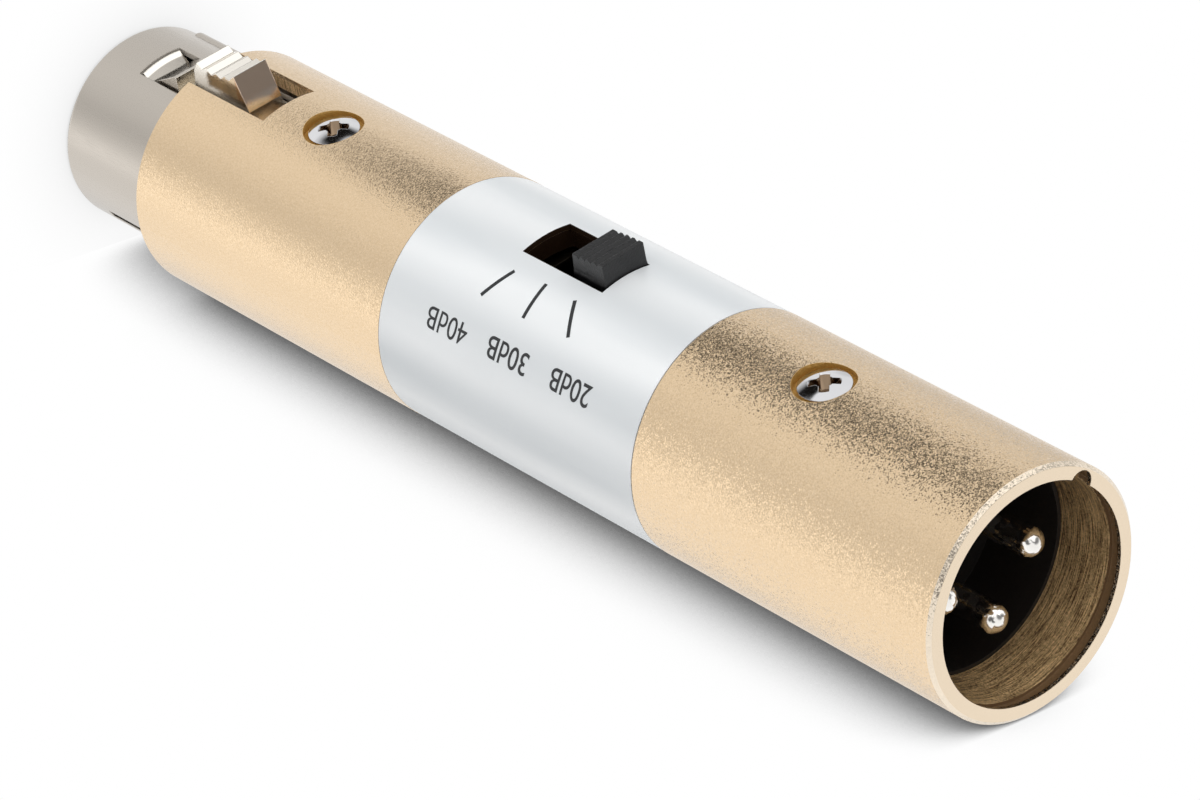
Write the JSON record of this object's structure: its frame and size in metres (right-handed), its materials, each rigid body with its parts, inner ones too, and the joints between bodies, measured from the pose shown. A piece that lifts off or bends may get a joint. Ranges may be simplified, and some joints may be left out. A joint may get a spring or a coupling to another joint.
{
  "type": "xlr inline attenuator",
  "caption": "Round metal barrel with a pin plug at one end and a latching socket at the other, and a slide switch that sets how much it weakens the signal.",
  "frame": {"origin": "centre of the socket nose's front face, which the part stands on", "axes": "+Z along the barrel towards the plug's open mouth; -Y towards latch, switch knob and body screws"},
  "size_m": [0.019, 0.0206, 0.0992],
  "materials": {
    "champagne_shell": "bead-blasted and anodised champagne, satin",
    "silver_band": "satin silver",
    "satin_nickel": "satin nickel plating",
    "bright_nickel": "bright nickel plating",
    "screw_chrome": "bright chrome plating",
    "black_insert": "moulded black nylon",
    "contact_silver": "silver-plated brass",
    "spring_steel": "drawn spring wire",
    "board_green": "glass-fibre board with green lacquer",
    "switch_frame": "yellow-passivated sheet steel",
    "switch_board": "brown laminate",
    "knob_black": "moulded black plastic, fine texture",
    "contact_bronze": "bare spring bronze",
    "terminal_tin": "tinned brass",
    "resistor_tan": "tan lacquer",
    "wire_red": "red insulation"
  },
  "bodies": {
    "barrel": {"body_tube": "champagne_shell", "label_band": "silver_band", "male_shell": "champagne_shell", "nose_shell": "satin_nickel", "female_insulator": "black_insert", "female_contact_1": "contact_silver", "female_contact_2": "contact_silver", "female_contact_3": "contact_silver", "latch_pin": "spring_steel", "latch_spring": "spring_steel", "male_insulator": "black_insert", "male_pin_1": "contact_silver", "male_pin_2": "contact_silver", "male_pin_3": "contact_silver", "body_screw_female": "screw_chrome", "body_screw_male": "screw_chrome", "circuit_board": "board_green", "switch_case": "switch_frame", "switch_base": "switch_board", "switch_terminals": "terminal_tin", "resistors": "resistor_tan", "wire_female": "wire_red", "wire_male": "wire_red"},
    "latch": {"latch": "bright_nickel"},
    "slider": {"switch_slider": "knob_black", "switch_contacts": "contact_bronze"}
  },
  "joints": [
    {"name": "latch_press", "type": "hinge", "parent": "barrel", "child": "latch", "pos_m": [0, -0.0062, 0.0225], "axis": [1, 0, 0], "range_deg": [0, 6], "stiffness_Nm_per_rad": 0.25, "springref_deg": -2.86, "deforming": ["latch_spring"]},
    {"name": "switch_slide", "type": "slide", "parent": "barrel", "child": "slider", "axis": [0, 0, -1], "range_m": [0, 0.00506]}
  ]
}
